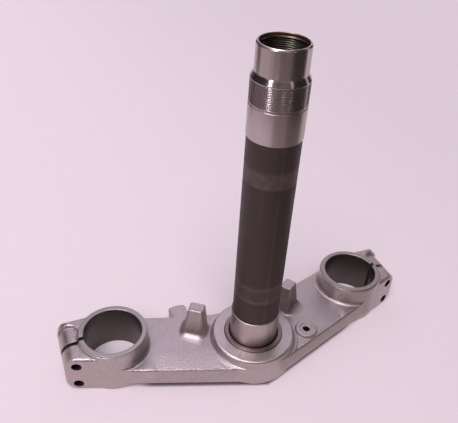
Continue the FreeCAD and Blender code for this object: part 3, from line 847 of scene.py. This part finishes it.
# The cards' colours, the heights that several share, and the corners of the tent of dark cards
DARK = (0.05, 0.038, 0.038)
DUSK = (0.16, 0.125, 0.13)
TAN = (0.50, 0.41, 0.43)
CARD_FOOT = FLOOR_LEVEL + 2 * MILLIMETRE
LOW_CARD_TOP = 0.28
SIDE_TOP = 0.65
FRONT_TOP = 0.75
HIGH_LEVEL = 1.3
CEILING_LEVEL = 1.9
TENT_BACK = (-0.45, 0.85)
TENT_LEFT_BACK = (-0.52, 0.42)
TENT_LEFT = (-0.60, -0.10)
TENT_LEFT_FRONT = (-0.54, -0.30)
TENT_FRONT = (-0.48, -0.60)
TENT_RIGHT_FRONT = (0.14, -0.72)
TENT_RIGHT = (0.62, -0.12)
CARDS = (
    # The left side, dark above and paler below
    ("left_back_card", DARK, upright_corners(TENT_BACK, TENT_LEFT_BACK, CARD_FOOT, SIDE_TOP)),
    ("left_back_floor_card", (0.42, 0.34, 0.35),
     level_corners(CARD_FOOT, TENT_BACK, TENT_LEFT_BACK, (-0.36, 0.33), (-0.22, 0.62))),
    ("left_low_card", (0.62, 0.51, 0.53),
     upright_corners(TENT_LEFT_BACK, TENT_LEFT, CARD_FOOT, LOW_CARD_TOP)),
    ("left_card", DARK, upright_corners(TENT_LEFT_BACK, TENT_LEFT, LOW_CARD_TOP, SIDE_TOP)),
    # The camera's side and the right side
    ("front_left_low_card", TAN,
     upright_corners(TENT_LEFT, TENT_LEFT_FRONT, CARD_FOOT, LOW_CARD_TOP)),
    ("front_left_card", DUSK,
     upright_corners(TENT_LEFT, TENT_LEFT_FRONT, LOW_CARD_TOP, FRONT_TOP)),
    ("front_side_card", (0.26, 0.21, 0.215),
     upright_corners(TENT_LEFT_FRONT, TENT_FRONT, CARD_FOOT, FRONT_TOP)),
    ("front_card", (0.20, 0.16, 0.165),
     upright_corners(TENT_FRONT, TENT_RIGHT_FRONT, CARD_FOOT, FRONT_TOP)),
    ("front_right_card", DARK,
     upright_corners(TENT_RIGHT_FRONT, TENT_RIGHT, CARD_FOOT, HIGH_LEVEL)),
    ("right_card", DARK, upright_corners(TENT_RIGHT, (0.85, 0.50), 0.10, HIGH_LEVEL)),
    # The floor, as bare metal sees it
    ("right_floor_card", (0.20, 0.155, 0.16),
     level_corners(CARD_FOOT, (0.06, -0.11), (0.19, -0.02), (0.62, -0.10), TENT_RIGHT_FRONT)),
    ("arm_floor_card", TAN,
     level_corners(CARD_FOOT, (0.016, -0.032), (0.118, 0.003), (0.19, -0.02), (0.06, -0.11))),
    ("near_floor_card", (0.36, 0.285, 0.285),
     level_corners(CARD_FOOT, (0.06, -0.11), TENT_RIGHT_FRONT, TENT_FRONT, (-0.17, -0.20))),
    # Overhead and behind
    ("ceiling_card", (0.30, 0.24, 0.245), level_corners(
        CEILING_LEVEL, (-3.0, -3.0), (3.0, -3.0), (3.0, 0.3), (2.26, 1.30), (1.25, 1.66),
        (0.86, 1.88), (0.45, 1.92), (0.12, 1.76), (-3.0, 1.7))),
    ("back_card", DUSK, upright_corners((-1.3, 1.0), (0.08, 1.5), 0.06, 1.2)),
    ("high_card", (1.34, 1.26, 1.64), level_corners(
        HIGH_LEVEL, (-0.94, 0.55), (-0.545, 0.944), (0.20, 1.05), (0.44, 0.99), (0.66, 0.90),
        (0.45, 0.05), (-1.0, 0.05))),
    ("overhead_card", (11.0, 10.3, 10.9),
     level_corners(HIGH_LEVEL, (-0.75, 0.04), (0.05, 0.04), (0.02, -0.30), (-0.70, -0.28))),
    # Thin bright strips
    ("left_strip", (18.0, 16.8, 18.6),
     upright_corners((-0.532, -0.268), (-0.550, -0.232), 0.33, 1.1)),
    ("front_strip", (7.0, 6.5, 7.2),
     upright_corners((-0.095, -0.68), (-0.125, -0.68), 0.40, 0.95)),
    ("front_right_strip", (5.0, 4.6, 4.9),
     upright_corners((0.22, -0.60), (0.20, -0.61), 0.45, 0.85)),
    ("right_strip", (1.2, 1.1, 1.15),
     upright_corners((0.55, 0.02), (0.55, -0.05), 0.02, 0.80)),
)


class TRIPLECLAMP_OT_stage(bpy.types.Operator):
    """Adds the pale floor, the soft lights, the cards for reflections and the camera"""

    bl_idname = "triple_clamp.stage"
    bl_label = "Stage"

    def execute(self, context):
        settings = context.scene.clamp_stage
        self.add_floor(settings)
        self.add_light(settings)
        for name, colour, corners in CARDS:
            self.add_card(name, colour, corners)
        self.add_world(context.scene, settings)
        self.add_camera(context.scene, settings)
        context.scene.view_settings.view_transform = "Standard"
        return {"FINISHED"}

    def add_floor(self, settings):
        """A wide floor under the part, with painted light that makes its left paler and its right
        darker, and a painted contact shadow under the arms in its colour.
        """
        low, high = -FLOOR_REACH, FLOOR_REACH
        corners = level_corners(FLOOR_LEVEL, (low, low), (high, low), (high, high), (low, high))
        floor = flat_piece("floor", corners)
        shader = Finish("pale_floor")
        # Painted light: the floor's colour is lighter on the left and darker on the right
        left = scaled(settings.floor_colour, FLOOR_LEFT_PAINTED_LIGHT)
        right = scaled(settings.floor_colour, FLOOR_RIGHT_PAINTED_SHADE)
        painted_floor_colour = shader.mix(shader.x.above(FLOOR_FALL_MIDDLE, FLOOR_FALL_EDGE), left, right)
        side = abs(shader.x)
        # Painted shadow: a dark contact shadow on the floor under the two arms
        under = behind_near_wall(side, shader.y).between(CONTACT_NEAR, CONTACT_FAR, CONTACT_EDGE)
        under = under * side.below(CONTACT_SIDE, CONTACT_SIDE_EDGE)
        painted_floor_colour = shader.mix(CONTACT_SHADOW_SHARE * under, painted_floor_colour, CONTACT_SHADOW_COLOUR)
        floor.data.materials.append(shader.surface(Base_Color=painted_floor_colour, Roughness=FLOOR_ROUGHNESS))

    def add_light(self, settings):
        """One very large, very soft source above and beside the camera, which bare metal does not
        mirror: the cards stand in for it there."""
        lamp = bpy.data.lights.new("key_light", "SUN")
        lamp.energy = settings.key_light
        lamp.angle = settings.key_softness
        lamp.color = KEY_COLOUR
        made = placed("key_light", lamp)
        made.visible_glossy = False
        made.location = KEY_PLACE
        made.rotation_mode = "QUATERNION"
        made.rotation_quaternion = made.location.to_track_quat("Z", "Y")

    def add_card(self, name, colour, corners):
        """A card that only reflections see, as a photographer hangs them round bare metal. They
        make a dark tent with an open back, with bright ones overhead and thin bright strips."""
        card = flat_piece(name, corners)
        card.data.materials.append(Finish(name).surface(
            Base_Color=(*BLACK, 1.0), Emission_Color=(*colour, 1.0), Emission_Strength=1.0,
            Specular_IOR_Level=0.0, Roughness=1.0))
        card.visible_camera = False
        card.visible_diffuse = False
        card.visible_transmission = False
        card.visible_shadow = False

    def add_world(self, scene, settings):
        """Soft light from all round; seen directly or in a reflection it is the pale background."""
        world = bpy.data.worlds.new("soft_room")
        scene.world = world
        room = Shader(world)
        path = room.raw("ShaderNodeLightPath", {}, {})
        rays = ("Is Camera Ray", "Is Glossy Ray", "Is Transmission Ray")
        seen = room.largest(*[Signal(room, path.outputs[ray]) for ray in rays])
        strength = room.node(
            "ShaderNodeMapRange", {}, {"Value": seen, "To Min": settings.room_light, "To Max": 1.0})
        colour = room.mix(seen, ROOM_COLOUR, settings.floor_colour)
        background = room.raw("ShaderNodeBackground", {}, {"Color": colour, "Strength": strength})
        room.raw("ShaderNodeOutputWorld", {}, {"Surface": background.outputs[0]})

    def add_camera(self, scene, settings):
        """The photo's camera: rolled about its line of sight, pitched, then turned to the side."""
        camera = bpy.data.cameras.new("photo_camera")
        camera.sensor_width = SENSOR_WIDTH
        camera.lens = settings.camera_lens
        camera.clip_start = CLIP_START
        camera.clip_end = CLIP_END
        made = placed("photo_camera", camera)
        turn = Matrix.Rotation(-settings.camera_yaw, 4, "Z")
        turn = turn @ Matrix.Rotation(math.pi / 2 + settings.camera_pitch, 4, "X")
        turn = turn @ Matrix.Rotation(settings.camera_roll, 4, "Z")
        made.matrix_world = Matrix.Translation(settings.camera_place) @ turn
        scene.camera = made


class TRIPLECLAMP_PT_panel(bpy.types.Panel):
    """Lists the steps in the order they are used"""

    bl_idname = "TRIPLECLAMP_PT_panel"
    bl_label = "Triple Clamp"
    bl_space_type = "VIEW_3D"
    bl_region_type = "UI"
    bl_category = "Triple Clamp"

    def draw(self, context):
        for operator in OPERATORS:
            self.layout.operator(operator.bl_idname)


OPERATORS = (TRIPLECLAMP_OT_yoke, TRIPLECLAMP_OT_stem, TRIPLECLAMP_OT_stage)
CLASSES = (YokeSettings, StemSettings, StageSettings, *OPERATORS, TRIPLECLAMP_PT_panel)


def register():
    """Makes the settings, operators and panel known to Blender"""
    for item in CLASSES:
        bpy.utils.register_class(item)
    bpy.types.Scene.clamp_yoke = PointerProperty(type=YokeSettings)
    bpy.types.Scene.clamp_stem = PointerProperty(type=StemSettings)
    bpy.types.Scene.clamp_stage = PointerProperty(type=StageSettings)


def unregister():
    """Takes them back out"""
    del bpy.types.Scene.clamp_stage
    del bpy.types.Scene.clamp_stem
    del bpy.types.Scene.clamp_yoke
    for item in reversed(CLASSES):
        bpy.utils.unregister_class(item)


def main():
    """Dresses the part"""
    register()
    bpy.ops.triple_clamp.yoke()
    bpy.ops.triple_clamp.stem()
    bpy.ops.triple_clamp.stage()


if __name__ == "__main__":
    main()
